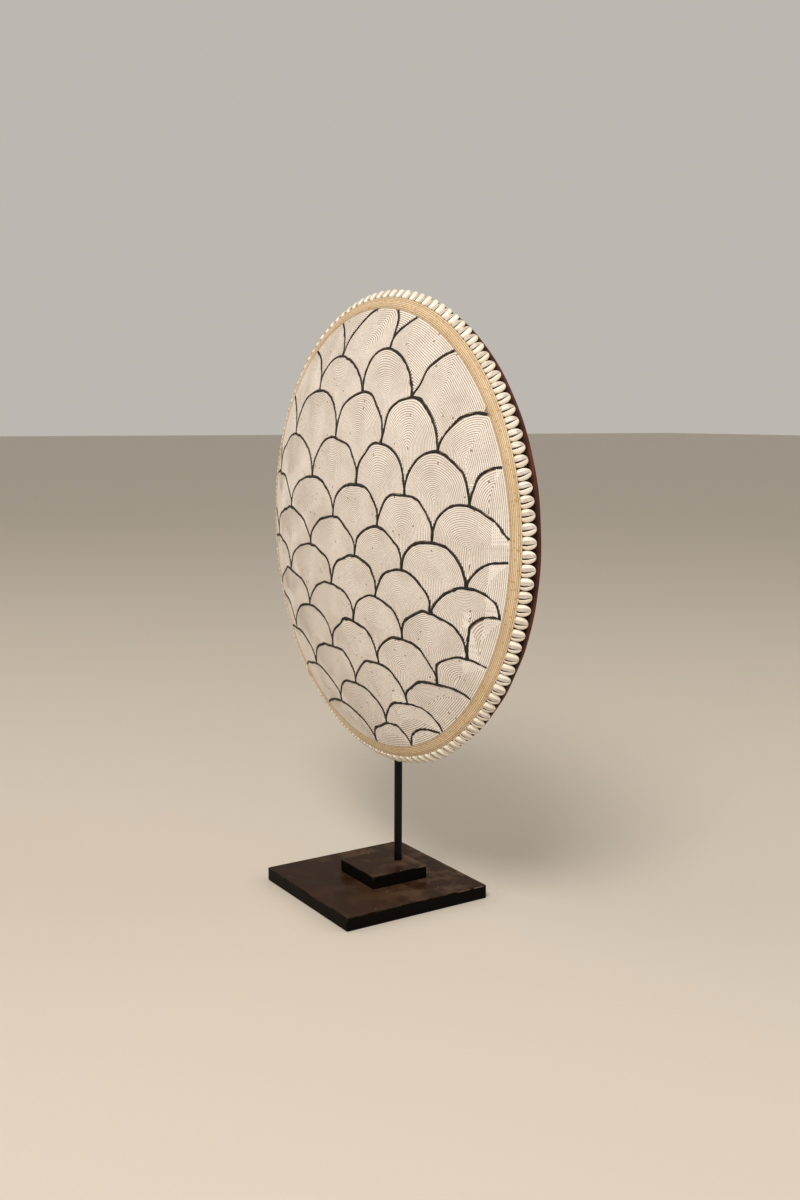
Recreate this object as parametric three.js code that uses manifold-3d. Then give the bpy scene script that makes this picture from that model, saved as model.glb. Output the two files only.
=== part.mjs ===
// Beaded shield on its stand.
// Millimetres, +Z up. The origin is the centre of the foot plate's underside and the face looks along -Y.

import * as THREE from 'three';
import { mergeVertices } from 'three/addons/utils/BufferGeometryUtils.js';
import Module from 'manifold-3d';

const wasm = await Module();
wasm.setup();

// Fit between pieces that touch
const GAP = 0.3;

// Foot plate
const PLATE_SIDE = 180;
const PLATE_THICKNESS = 15;
const PLATE_ARRIS = 1;

// Block on the plate; the rod stands nearer to its back edge
const BLOCK_SIDE = 71;
const BLOCK_THICKNESS = 14;
const BLOCK_ARRIS = 0.8;
const ROD_TO_BLOCK_BACK = 16;

// Rod, and how it seats in the underside of the wooden rim
const ROD_DIAMETER = 9;
const ROD_SEAT_DEPTH = 22;
const WOOD_BEHIND_ROD = 2.7;

// Beadwork on its cloth, the same on the face and the band
const BEADWORK_THICKNESS = 3;

// Band of beads round the face, measured to its outer edge
const SHIELD_CENTRE_HEIGHT = 407.5;
const BAND_EDGE_RADIUS = 248;
const BAND_EDGE_SET_BACK = 7;
const BAND_WIDTH = 13;
const BAND_SLOPE = 26;
const BAND_CROWN = 0.8;

// Beaded face, a shallow dome inside the band
const DOME_RISE = 41;
const DOME_FULLNESS = 2.5;

// Cowries on their strip, laid end-on round the rim
const SHELL_LENGTH = 13.5;
const SHELL_WIDTH = 11.4;
const SHELL_HEIGHT = 5.6;
const SHELL_PITCH = 13;
const SHELL_SLOPE = 49;
const SHELL_TO_BAND = 0.6;
const SHELL_SUNK = 1.6;
const SHELL_OVERHANG = 2.6;
const STRIP_THICKNESS = 1.9;

// Carved wooden body, hollow behind
const DOME_WALL = 12;
const RIM_DEPTH = 31;
const LIP_OUTER_RADIUS = 228;
const LIP_WIDTH = 15;
const RIM_INSIDE_SPLAY = 4;

// Smoothness of the solids
const DOME_STEPS = 5;
const HOLLOW_STEPS = 3;
const RIM_STEPS = 4;
const ROD_SIDES = 16;
const SHELL_SIDES = 5;
const SHELL_STEPS = 3;
const WELD = 1e-4;

const radians = THREE.MathUtils.degToRad;

// Section of the shield: x is the radius from its axis, y the distance behind the middle of the plate
const point = (radius, setBack) => new THREE.Vector2(radius, setBack);
const bandRun = point(Math.cos(radians(BAND_SLOPE)), Math.sin(radians(BAND_SLOPE)));
const shellRun = point(Math.cos(radians(SHELL_SLOPE)), Math.sin(radians(SHELL_SLOPE)));
const inward = (run) => point(-run.y, run.x);
const along = (start, run, length) => start.clone().addScaledVector(run, length);

const bandEdge = point(BAND_EDGE_RADIUS, BAND_EDGE_SET_BACK);
const faceEdge = along(bandEdge, bandRun, -BAND_WIDTH);
const shellTip = along(bandEdge, shellRun, SHELL_TO_BAND);
const shellMiddle = along(shellTip, shellRun, SHELL_LENGTH / 2);
const lipSetBack = BAND_EDGE_SET_BACK + RIM_DEPTH;

// The shield is turned with one facet to every two shells, so that no shell sits across a ridge
const roundSteps = Math.round((Math.PI * shellMiddle.x) / SHELL_PITCH);
const shellCount = 2 * roundSteps;

// Place where two straight lines of the section meet
function meet(start, run, otherStart, otherRun) {
  const across = inward(otherRun);
  return along(start, run, otherStart.clone().sub(start).dot(across) / run.dot(across));
}

const steps = (count) => Array.from({ length: count + 1 }, (_, i) => i / count);

// Distance of the bead surface behind the middle of the plate
function domeSetBack(radius) {
  return faceEdge.y - DOME_RISE * (1 - Math.pow(radius / faceEdge.x, DOME_FULLNESS));
}

// Line of the dome from the axis out to a point of its edge, sunk by a depth behind the bead surface
function domeLine(depth, edge, count) {
  const line = steps(count).slice(0, -1).map((t) => point(t * edge.x, domeSetBack(t * edge.x) + depth));
  return [...line, edge];
}

// Solid turned about the shield's axis, from a section drawn with its inside on the left
const turned = (section) => new THREE.LatheGeometry(section, roundSteps);

function toSolid(geometry) {
  geometry.deleteAttribute('normal');
  geometry.deleteAttribute('uv');
  const welded = mergeVertices(geometry, WELD);
  const corners = Array.from(welded.index.array);
  const triangles = [];
  for (let i = 0; i < corners.length; i += 3) {
    const [a, b, c] = corners.slice(i, i + 3);
    if (a !== b && b !== c && c !== a) triangles.push(a, b, c);
  }
  return new wasm.Manifold(new wasm.Mesh({
    numProp: 3,
    vertProperties: new Float32Array(welded.attributes.position.array),
    triVerts: new Uint32Array(triangles),
  }));
}

function toGeometry(solid) {
  const mesh = solid.getMesh();
  const geometry = new THREE.BufferGeometry();
  geometry.setAttribute('position', new THREE.BufferAttribute(mesh.vertProperties, 3));
  geometry.setIndex(new THREE.BufferAttribute(mesh.triVerts, 1));
  geometry.computeVertexNormals();
  return geometry;
}

// Square slab standing on z = 0, its edges eased by a small bevel
function slab(side, thickness, arris) {
  const half = side / 2;
  const outline = new THREE.Shape();
  outline.moveTo(-half, -half).lineTo(half, -half).lineTo(half, half).lineTo(-half, half).closePath();
  const geometry = new THREE.ExtrudeGeometry(outline, {
    depth: thickness - 2 * arris,
    bevelThickness: arris,
    bevelSize: arris,
    bevelOffset: -arris,
    bevelSegments: 1,
  });
  return geometry.translate(0, 0, arris);
}

// Upright round bar between two heights
function bar(diameter, bottom, top) {
  const geometry = new THREE.CylinderGeometry(diameter / 2, diameter / 2, top - bottom, ROD_SIDES);
  return geometry.rotateX(Math.PI / 2).translate(0, 0, (bottom + top) / 2);
}

// Stand: the rod's place follows the rim that it seats in
const holeDiameter = ROD_DIAMETER + 2 * GAP;
const rodSetBack = lipSetBack - WOOD_BEHIND_ROD - holeDiameter / 2;
const blockSetBack = rodSetBack + ROD_TO_BLOCK_BACK - BLOCK_SIDE / 2;
const blockBottom = PLATE_THICKNESS + GAP;

// Under the band and the strip the wood is cut back by their thickness
const shoulderStart = along(shellTip, inward(shellRun), SHELL_HEIGHT / 2 - SHELL_SUNK + STRIP_THICKNESS + GAP);
const shoulderEnd = along(shoulderStart, shellRun, SHELL_LENGTH - SHELL_OVERHANG);
const bedEdge = along(faceEdge, inward(bandRun), BEADWORK_THICKNESS + GAP);
const shoulderCorner = meet(bedEdge, bandRun, shoulderStart, shellRun);

// Wooden back of the rim: a quarter ellipse from the shoulder to the flat lip
function rimBack() {
  const out = shoulderEnd.x - LIP_OUTER_RADIUS;
  const back = lipSetBack - shoulderEnd.y;
  return steps(RIM_STEPS).map((t) => {
    const turn = t * Math.PI / 2;
    return point(LIP_OUTER_RADIUS + out * Math.cos(turn), shoulderEnd.y + back * Math.sin(turn));
  });
}

function woodSection() {
  const bed = BEADWORK_THICKNESS + GAP;
  const lipInner = LIP_OUTER_RADIUS - LIP_WIDTH;
  const hollowRadius = lipInner - RIM_INSIDE_SPLAY;
  const hollowEdge = point(hollowRadius, domeSetBack(hollowRadius) + bed + DOME_WALL);
  const hollow = domeLine(bed + DOME_WALL, hollowEdge, HOLLOW_STEPS).reverse();
  const lipEdge = point(lipInner, lipSetBack);
  return [...domeLine(bed, bedEdge, DOME_STEPS), shoulderCorner, ...rimBack(), lipEdge, ...hollow];
}

// Height above the shield's axis to the wood's underside where the rod enters
function rimRadiusAt(setBack) {
  const share = (setBack - shoulderEnd.y) / (lipSetBack - shoulderEnd.y);
  return LIP_OUTER_RADIUS + (shoulderEnd.x - LIP_OUTER_RADIUS) * Math.sqrt(1 - share * share);
}

const rodTop = SHIELD_CENTRE_HEIGHT - rimRadiusAt(rodSetBack) + ROD_SEAT_DEPTH;

function woodBody() {
  const hole = bar(holeDiameter, -BAND_EDGE_RADIUS * 2, rodTop + GAP - SHIELD_CENTRE_HEIGHT);
  hole.translate(0, rodSetBack, 0);
  return toGeometry(toSolid(turned(woodSection())).subtract(toSolid(hole)));
}

function beadedFace() {
  const edge = along(faceEdge, bandRun, -GAP);
  const backEdge = along(edge, inward(bandRun), BEADWORK_THICKNESS);
  const front = domeLine(0, edge, DOME_STEPS);
  const back = domeLine(BEADWORK_THICKNESS, backEdge, DOME_STEPS);
  return turned([...front, ...back.reverse()]);
}

function bandSection() {
  const crown = along(faceEdge, bandRun, BAND_WIDTH / 2).addScaledVector(inward(bandRun), -BAND_CROWN);
  const under = (start) => along(start, inward(bandRun), BEADWORK_THICKNESS);
  return [faceEdge, crown, bandEdge, under(bandEdge), under(faceEdge), faceEdge];
}

// One cowrie lying along +Y with its slit side towards +Z
function cowrie() {
  const fullest = Math.sin(Math.PI / SHELL_STEPS);
  const shell = new THREE.SphereGeometry(1, SHELL_SIDES, SHELL_STEPS, Math.PI / 2);
  return shell.scale(SHELL_WIDTH / 2 / fullest, SHELL_LENGTH / 2, SHELL_HEIGHT / 2 / fullest);
}

function stripSection() {
  const top = along(shellTip, inward(shellRun), SHELL_HEIGHT / 2 - SHELL_SUNK);
  const inner = along(top, shellRun, SHELL_TO_BAND);
  const outer = along(top, shellRun, SHELL_LENGTH - SHELL_OVERHANG);
  const under = (start) => along(start, inward(shellRun), STRIP_THICKNESS);
  return [inner, outer, under(outer), under(inner), inner];
}

function cowrieRing() {
  const lie = new THREE.Matrix4().makeBasis(
    new THREE.Vector3(0, 0, -1),
    new THREE.Vector3(shellRun.x, shellRun.y, 0),
    new THREE.Vector3(shellRun.y, -shellRun.x, 0),
  );
  lie.setPosition(shellMiddle.x, shellMiddle.y, 0);
  const shells = Array.from({ length: shellCount }, (_, i) => {
    const turn = (2 * Math.PI * (i + 0.5)) / shellCount;
    return toSolid(cowrie().applyMatrix4(lie).rotateY(turn));
  });
  return toGeometry(wasm.Manifold.union([toSolid(turned(stripSection())), ...shells]));
}

function blockWithHole() {
  const hole = bar(holeDiameter, -BLOCK_THICKNESS, 2 * BLOCK_THICKNESS);
  hole.translate(0, rodSetBack - blockSetBack, 0);
  const block = slab(BLOCK_SIDE, BLOCK_THICKNESS, BLOCK_ARRIS);
  return toGeometry(toSolid(block).subtract(toSolid(hole)));
}

function piece(name, geometry, color, roughness, metalness = 0) {
  const mesh = new THREE.Mesh(geometry, new THREE.MeshStandardMaterial({ color, roughness, metalness }));
  mesh.name = name;
  return mesh;
}

const stand = new THREE.Group();
const plate = piece('foot_plate', slab(PLATE_SIDE, PLATE_THICKNESS, PLATE_ARRIS), 0x1d1613, 0.35);
const block = piece('foot_block', blockWithHole(), 0x1f1814, 0.3);
block.position.set(0, blockSetBack, blockBottom);
const rod = piece('stand_rod', bar(ROD_DIAMETER, PLATE_THICKNESS + GAP, rodTop), 0x141312, 0.45, 0.4);
rod.position.set(0, rodSetBack, 0);
stand.add(plate, block, rod);

const shield = new THREE.Group();
shield.position.set(0, 0, SHIELD_CENTRE_HEIGHT);
shield.add(
  piece('shield_body', woodBody(), 0x4b281c, 0.6),
  piece('bead_face', beadedFace(), 0xe1d4c3, 0.4),
  piece('bead_band', turned(bandSection()), 0xd2b07a, 0.4),
  piece('cowrie_ring', cowrieRing(), 0xefe3cc, 0.3),
);

const beadedShield = new THREE.Group();
beadedShield.add(stand, shield);
export default beadedShield;
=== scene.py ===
import math

import bpy
import numpy as np
from mathutils import Matrix, Vector, noise


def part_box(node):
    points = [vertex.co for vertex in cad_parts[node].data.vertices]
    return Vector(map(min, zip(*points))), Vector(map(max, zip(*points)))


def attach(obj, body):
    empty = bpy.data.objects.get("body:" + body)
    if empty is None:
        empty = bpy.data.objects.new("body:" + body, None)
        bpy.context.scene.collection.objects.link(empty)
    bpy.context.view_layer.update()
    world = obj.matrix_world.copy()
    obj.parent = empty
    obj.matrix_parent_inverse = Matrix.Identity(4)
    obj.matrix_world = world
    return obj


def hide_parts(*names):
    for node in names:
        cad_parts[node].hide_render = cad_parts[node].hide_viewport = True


bl_info = {
    "name": "Beaded shield on its stand",
    "version": (1, 0, 0),
    "blender": (4, 5, 0),
    "location": "View3D > Sidebar > Shield",
    "description": "Dresses the shield's solids with rows of beads, cowries, carved wood and lacquer",
    "category": "Add Mesh",
}

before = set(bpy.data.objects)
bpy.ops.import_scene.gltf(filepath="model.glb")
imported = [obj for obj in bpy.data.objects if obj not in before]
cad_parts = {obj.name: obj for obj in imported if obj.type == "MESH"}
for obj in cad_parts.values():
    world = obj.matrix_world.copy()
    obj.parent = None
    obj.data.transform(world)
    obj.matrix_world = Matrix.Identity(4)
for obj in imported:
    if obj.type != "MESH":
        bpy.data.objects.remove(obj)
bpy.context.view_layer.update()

# Everything is worked out in millimetres and made in metres
MM = 0.001
SEED = 7
TINY = 1e-6
# sections are turned from this near the axis, so that no faces fold up on it
AXIS_RADIUS = 0.05
TURN_STEPS = {"bead_cloth": 180, "band_cloth": 240, "cowrie_strip": 244, "carved_body": 256}
# uneven lines are sums of this many waves, with lengths between these shares, and reach about this high
WAVES = 6
WAVE_LENGTHS = (0.7, 1.6)
WAVES_PEAK = 2.6

# Face: a shallow dome inside the band, set back from the middle of the stand at its edge
FACE_RADIUS = 236.3
FACE_EDGE_SET_BACK = 1.3
FACE_RISE = 41
FACE_FULLNESS = 2.5
SHIELD_CENTRE_HEIGHT = 407.5

# Beads of size 11 in couched rows: how high they stand over their cloth, and how far they dip at a joint
BEAD_HEIGHT = 0.4
JOINT_DIP = 0.5
BAND_JOINT_DIP = 0.12
JOINT_PINCH = 0.93
LENGTH_UNEVEN = 0.2
BEAD_HEIGHTS = (-0.08, 0.04)
ROW_ROUNDNESS = 2.4
BASE_SUNK = 0.08
CLOTH_THICKNESS = 2.0
CLOTH_RINGS = 60

# Scale pattern. The point of each scale lies in a row and a column; every second crossing has one.
# Rows, from the top down, are (height, sideways shift, rise per column) at the middle column.
ROW_PLACES = ((286, -10, 2.5), (239, -5, 2.5), (189, -19, 2.5), (148, -6, -2.5), (98, -1, -2.5),
              (53, 1, -2.5), (12, 0, -2.5), (-25, -2, -2.5), (-61, -6, -2.5), (-96, -12, -2.5),
              (-134, -16, -2.5), (-168, -26, -2.5), (-203, -27, -2.5), (-233, -30, -2), (-262, -33, -2),
              (-290, -36, -2))
COLUMN_PLACES = (-400, -335, -270, -208, -145, -80, -27, 22, 64, 106, 148, 191, 232, 272, 310)
MIDDLE_COLUMN = 7
COLUMN_SPREAD = 0.1
ROW_BOW = 0.4
# points beside the band that the maker let out or drew in to meet it: (column, row) to (across, up)
OUT_OF_LINE = {(4, 2): (-152, 199), (5, 1): (-98, 233), (9, 1): (108, 226), (10, 2): (165, 188),
               (11, 3): (196, 126), (12, 6): (242, -14), (12, 8): (223, -68), (11, 11): (188, -172),
               (10, 12): (128, -201), (9, 13): (71, -228), (7, 13): (1, -235)}
# scales beside the band for which the maker had no room
LEFT_OUT = ((12, 2), (11, 11))
ARCH_SQUARENESS = 2.1
LEG_DROP = 1.2
ARCH_SAMPLES = 240
LEG_SAMPLES = 180
LINE_BEAD = 2.2
LINE_WANDER = 0.5
LINE_WANDER_LENGTH = 15
LINE_UNEVEN = 0.24
LINE_UNEVEN_LENGTH = 8
LINE_HEIGHT = 1.0
# shorter stretches of a black line, cut off by the band, are left out
LINE_SHORTEST = 26
LINE_TO_BAND = 0.4
LINE_TONES = (0.9, 1.1)
# lines swell into a small knot where they meet
KNOT_SWELL = 0.5
KNOT_REACH = 4.5
HAND_WAVER = 1.4
HAND_WAVER_LENGTH = 34
HAND_WAVER_EASE = 30
# how far rows of white beads stop short of the middle of a black line
ROW_END = 1.5
MITRE_LAP = 0.35
# white rows that follow the band reach this far in from it
BAND_ROWS_REACH = 60
BAND_ROWS_SAMPLES = 3600
# rows with no more samples than this are too short for a bead
SHORTEST_RUN = 3
SCALE_TONES = (-0.025, 0.015)
ROW_TONES = (0.985, 1.015)
# the white beads are made in three pieces, by the scale's row
UPPER_ROWS, MIDDLE_ROWS = 5, 9

# Band of tan beads round the face
BAND_EDGE_RADIUS = 248
BAND_EDGE_SET_BACK = 7
BAND_WIDTH = 13
BAND_SLOPE = 26
BAND_CROWN = 0.8
BAND_THICKNESS = 3
BAND_SAMPLES = 1800
BAND_STRIP_POINTS = 9
BAND_TONES = (0.88, 1.05)
INNER_ROW_TONE = 0.74

# Cowries on their strip
SHELL_SLOPE = 49
SHELL_TO_BAND = 0.6
SHELL_BED = 1.2
SHELL_DEPTH = 5.6
SHELL_SUNK = 1.6
SHELL_PRESSED = 0.1
SHELL_STEPS = 24
# where points lie across a lobe, closest beside the slit
LOBE_POINTS = (0.05, 0.1, 0.16, 0.24, 0.36, 0.5, 0.66, 0.8, 0.91, 0.975, 1)
SHELL_LENGTHS, SHELL_WIDTHS, SHELL_HEIGHTS = (0.94, 1.02), (0.95, 1.02), (0.88, 1.0)
SHELL_SKEW = 0.07
SHELL_FULLNESS = 2.6
SHELL_END_FALL = 0.8
# the lips roll into the slit, and a shallow dip runs along the upper lobe
LIP_ROLL, LIP_SPREAD = 0.62, 1.5
DIP_DEPTH, DIP_PLACE, DIP_SPREAD = 0.1, 0.4, 0.2
# the slit lies low on the shell beside the band and curves up towards the tip, in half widths
SLIT_START = -0.26
SLIT_TURN = 0.36
SLIT_BEND = 2.2
SLIT_HALF_WIDTH = 0.085
SLIT_TAPER = 0.35
SLIT_SHIFT = 0.08
SLIT_END, SLIT_CLOSING = 0.86, 4
# outline: broadest a little towards the band, where the end is blunt, and rounder at the outer tip
SHELL_BROADEST = -0.25
BAND_END_NARROWING = 0.16
BAND_END_ROUNDING = 0.07
BAND_END_CURVE = 0.4
TIP_END_BLUNT = 2.1
SHELL_TUCK = 0.6
STRIP_THICKNESS = 1.9
STRIP_POINTS = 6
SHELL_OVERHANG = 2.6

# Carved body
GAP = 0.3
DOME_WALL = 12
RIM_DEPTH = 31
LIP_OUTER_RADIUS = 228
LIP_WIDTH = 15
LIP_CORNER = (1.5, 1.2)
RIM_INSIDE_SPLAY = 4
FRONT_RINGS, SHOULDER_RINGS, ROUND_RINGS, LIP_RINGS, HOLLOW_RINGS = 20, 8, 20, 6, 48
# gouge cuts in the hollow, and how unevenly the rim was pared down
GOUGE_WIDTH, GOUGE_DEPTH = 15, 0.9
RIM_UNEVEN_LENGTH, RIM_UNEVEN, RIM_PARED = 60, 0.5, 0.6
# points this near the hollow's surface, or this far behind the shoulder, are carved
CARVED_FROM = 0.5

# Stand
PLATE = {"side": 180, "thickness": 15, "set_back": 0, "bottom": 0, "arris": 1.0}
BLOCK = {"side": 71, "thickness": 14, "set_back": 11, "bottom": 15.3, "arris": 0.8}
CORNER_RADIUS = 1.6
CORNER_POINTS, ARRIS_POINTS = 5, 4
# faces larger than this many square mm are shaded flat, so that only the arrises look round
FLAT_OVER = 60
ROD_DIAMETER = 9
ROD_SET_BACK = 30.5
ROD_CHAMFER = 0.5
ROD_STEPS = 64
ROD_RINGS, ROD_RINGS_FROM_END = 20, 8
DRILL_STEPS = 48
# the drill's start and end, safely past what it bores
BODY_BORE_FROM = 100
BLOCK_BORE = (10, 40)

# Stage, in metres. Each light has its place, size, power in watts and colour.
LIGHTS = {"key": ((1.4, -1.7, 2.7), 1.2, 71, "#FFF8EF"),
          "window": ((2.4, -0.9, 1.1), 1.6, 6, "#DDE8FF"),
          "fill": ((-2.2, -2.2, 1.8), 2.4, 16, "#FFF1DF"),
          "back": ((1.5, 2.4, 1.8), 1.8, 14, "#FFF8F0")}
LIGHTS_AIM = (0, 0, 0.36)
ROOM_LIGHT, ROOM_STRENGTH = "#ECE6DD", 0.6
FLOOR_REACH = 30
CAMERA_PLACE = (1.1852, -0.7323, 0.5313)
CAMERA_TURN = 57.19
CAMERA_DOWN = 8.185
CAMERA_ROLL = 0.24
CAMERA_LENS, CAMERA_SENSOR = 38.46, 36
CAMERA_SEES = 60


def linear(code):
    """Linear colour of an sRGB hex value."""
    parts = [int(code[i:i + 2], 16) / 255 for i in (1, 3, 5)]
    return (*(p / 12.92 if p <= 0.04045 else ((p + 0.055) / 1.055) ** 2.4 for p in parts), 1.0)


# Shapes

def run_of(degrees):
    """Direction in the section, as (radius, set back), of a surface that falls back by this slope."""
    return np.array([math.cos(math.radians(degrees)), math.sin(math.radians(degrees))])


def inward(run):
    return np.array([-run[1], run[0]])


BAND_RUN, SHELL_RUN = run_of(BAND_SLOPE), run_of(SHELL_SLOPE)
BAND_EDGE = np.array([BAND_EDGE_RADIUS, BAND_EDGE_SET_BACK])
FACE_EDGE = BAND_EDGE - BAND_WIDTH * BAND_RUN
SHELL_TIP = BAND_EDGE + SHELL_TO_BAND * SHELL_RUN


def dome(radius):
    """Set back of the bead surface and its slope, at a radius from the middle of the face."""
    share = radius / FACE_RADIUS
    slope = FACE_RISE * FACE_FULLNESS / FACE_RADIUS * share ** (FACE_FULLNESS - 1)
    return FACE_EDGE_SET_BACK - FACE_RISE * (1 - share ** FACE_FULLNESS), slope


def on_face(flat, lift):
    """Points that stand lift in front of the bead surface, over (across, up) places on the face."""
    flat = hand_laid(flat)
    radius = np.maximum(np.hypot(flat[..., 0], flat[..., 1]), TINY)
    set_back, slope = dome(radius)
    tilt = np.sqrt(1 + slope ** 2)
    spread = 1 + slope * lift / tilt / radius
    return np.stack([flat[..., 0] * spread, set_back - lift / tilt, flat[..., 1] * spread], -1)


def on_band(flat, lift):
    """Points over the band, from (way round in radians, way across in mm) places on it."""
    across = flat[..., 1]
    crown = BAND_CROWN * (1 - (2 * across / BAND_WIDTH - 1) ** 2)
    section = FACE_EDGE + across[..., None] * BAND_RUN - (crown + lift)[..., None] * inward(BAND_RUN)
    return turned(section, flat[..., 0])


def turned(section, angle):
    """Points of a (radius, set back) section turned to an angle about the shield's axis."""
    return np.stack([section[..., 0] * np.cos(angle), section[..., 1], section[..., 0] * np.sin(angle)], -1)


def waver(points, length, seed):
    """Smooth irregular numbers of about -1 to 1 over the points, with bumps of this length."""
    dice = np.random.default_rng(seed)
    total = 0
    for _ in range(WAVES):
        way = dice.normal(size=points.shape[-1])
        way *= 2 * math.pi / (length * dice.uniform(*WAVE_LENGTHS)) / np.linalg.norm(way)
        total = total + np.sin(points @ way + dice.uniform(0, 2 * math.pi))
    return total / WAVES_PEAK


def hand_laid(flat):
    """The pattern's places as a hand lays them: they wander a little, less so beside the band."""
    to_band = FACE_RADIUS - np.hypot(flat[..., 0], flat[..., 1])
    ease = np.clip(to_band / HAND_WAVER_EASE, 0, 1)[..., None]
    push = [waver(flat, HAND_WAVER_LENGTH, SEED + k) for k in (1, 2)]
    return flat + HAND_WAVER * ease * np.stack(push, -1)


def pattern_point(column, row):
    """Where the point of a scale lies on the face, by its place in the lists of columns and rows."""
    height, shift, slant = ROW_PLACES[row]
    from_middle = column - MIDDLE_COLUMN
    place = (COLUMN_PLACES[column] + shift * (1 - COLUMN_SPREAD * from_middle),
             height + slant * from_middle - ROW_BOW * from_middle ** 2)
    return np.array(OUT_OF_LINE.get((column, row), place), float)


class Arch:
    """The top line of one scale: it springs from two points of the row below and peaks in its own."""

    def __init__(self, column, row):
        left, right = pattern_point(column - 1, row + 1), pattern_point(column + 1, row + 1)
        self.foot = (left + right) / 2
        self.half = (right - left) / 2
        self.rise = pattern_point(column, row) - self.foot
        self.reach = np.linalg.norm(self.half)
        self.back = np.linalg.inv(np.stack([self.half, self.rise], 1))

    def line(self, size, legs):
        """The arch drawn at a share of its size, with straight legs below it down to the scale's foot."""
        bend = np.linspace(math.pi, 0, ARCH_SAMPLES)
        across = np.sign(np.cos(bend)) * np.abs(np.cos(bend)) ** (2 / ARCH_SQUARENESS)
        up = np.abs(np.sin(bend)) ** (2 / ARCH_SQUARENESS) * size
        if legs:
            drop = np.linspace(-LEG_DROP, 0, LEG_SAMPLES, endpoint=False)
            across = np.concatenate([-np.ones(LEG_SAMPLES), across, np.ones(LEG_SAMPLES)])
            up = np.concatenate([drop, up, drop[::-1]])
        return self.foot + across[:, None] * size * self.half + up[:, None] * self.rise

    def share(self, flat):
        """Size, as a share of the arch's own, of the smaller arch that runs through each place."""
        across, up = np.moveaxis((flat - self.foot) @ self.back.T, -1, 0)
        up = np.clip(up, 0, None)
        size = (np.abs(across) ** ARCH_SQUARENESS + up ** ARCH_SQUARENESS) ** (1 / ARCH_SQUARENESS)
        size = np.maximum(size, TINY)
        less = ARCH_SQUARENESS - 1
        steep = np.stack([np.sign(across) * np.abs(across) ** less, up ** less], -1)
        steep = steep * size[..., None] ** -less @ self.back
        return size, np.maximum(np.linalg.norm(steep, axis=-1), TINY)

    def depth(self, flat):
        """How many of the arch's rows, in mm along its foot, lie between it and each place inside it."""
        return (1 - self.share(flat)[0]) * self.reach

    def distance(self, flat):
        """Distance in mm from each place to the arch, less than 0 outside it."""
        size, steep = self.share(flat)
        return (1 - size) / steep


def scales():
    """Every scale's arch, with the arches below that cover its foot."""
    places = [(c, r) for r in range(len(ROW_PLACES) - 1) for c in range(1, len(COLUMN_PLACES) - 1)
              if (c + r) % 2 == 0 and (c, r) not in LEFT_OUT]
    arches = {place: Arch(*place) for place in places}
    for (column, row), arch in arches.items():
        below = ((column - 1, row + 1), (column + 1, row + 1), (column, row + 2))
        covers = [arches[key] for key in below if key in arches]
        if np.linalg.norm(arch.foot) < FACE_RADIUS + arch.reach + np.linalg.norm(arch.rise):
            yield row, arch, covers


def runs(keep):
    """Start and end of each unbroken stretch of kept samples."""
    edges = np.flatnonzero(np.diff(np.concatenate([[0], keep.astype(int), [0]])))
    return zip(edges[::2], edges[1::2])


class BeadRows:
    """Rows of beads as ridges: one hump to a bead, with a dip and a pinch at each joint."""

    def __init__(self, place, across, dip=JOINT_DIP):
        self.place, self.across, self.dip = place, np.asarray(across, float), dip
        self.points, self.faces, self.marks = [], [], []
        self.size, self.rows = 0, 0
        self.dice = np.random.default_rng(SEED)

    def lay(self, one_side, crest, other_side, bead, tone, measure=None, height=BEAD_HEIGHT):
        """Lays one row along its crest, between the two lines where it meets its neighbours.
        Its beads are spaced along measure, where that is given, and else along the crest."""
        way = crest if measure is None else measure
        length = np.concatenate([[0], np.cumsum(np.linalg.norm(np.diff(way, axis=0), axis=1))])
        beads = max(1, round(length[-1] / bead))
        stops = np.linspace(0, length[-1], 2 * beads + 1)
        stops[1:-1] += bead * LENGTH_UNEVEN * self.dice.uniform(-0.5, 0.5, 2 * beads - 1)
        sides = [np.stack([np.interp(stops, length, line[:, k]) for k in (0, 1)], -1)
                 for line in (one_side, crest, other_side)]
        hump = np.arange(2 * beads + 1) % 2
        pinch = np.where(hump, 1.0, JOINT_PINCH)[:, None]
        rows = []
        for share in self.across:
            edge = sides[0] if share < 0 else sides[2]
            rows.append(sides[1] + (edge - sides[1]) * abs(share) * pinch)
        flat = np.stack(rows, 1)
        round_off = np.sqrt(1 - np.abs(self.across) ** ROW_ROUNDNESS)
        uneven = self.dice.uniform(*BEAD_HEIGHTS, 2 * beads + 1)
        lift = (height * np.where(hump, 1 + uneven, 1 - self.dip))[:, None] * round_off - BEAD_HEIGHT
        # the sides of a row are sunk a little into its cloth
        lift = np.where(np.abs(self.across) == 1, -BEAD_HEIGHT - BASE_SUNK, lift)
        self.points.append(self.place(flat, lift).reshape(-1, 3))
        count, wide = 2 * beads + 1, len(self.across)
        first = self.size + np.arange(count - 1)[:, None] * wide + np.arange(wide - 1)
        self.faces.append(np.stack([first, first + wide, first + wide + 1, first + 1], -1).reshape(-1, 4))
        along = np.broadcast_to((np.arange(count) / 2)[:, None], (count, wide))
        # row number plus the share of the way across, kept under 1
        side = np.broadcast_to(self.rows + (self.across + 1) / 2 * 0.999, (count, wide))
        shade = np.full((count, wide), tone)
        self.marks.append(np.stack([along, side, shade], -1).reshape(-1, 3))
        self.size += count * wide
        self.rows += 1

    def make(self, name, material, slot, node, flip=False):
        """Makes the piece from all rows laid so far."""
        return shield_piece(name, np.concatenate(self.points), np.concatenate(self.faces), material, slot,
                            node, np.concatenate(self.marks), flip)


def add_piece(name, mesh, material, node):
    """Puts a mesh in the scene as a piece that rides on the frame in place of one of its nodes."""
    mesh.materials.append(material)
    piece = bpy.data.objects.new(name, mesh)
    bpy.context.scene.collection.objects.link(piece)
    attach(piece, "root")
    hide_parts(node)
    return piece


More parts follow.
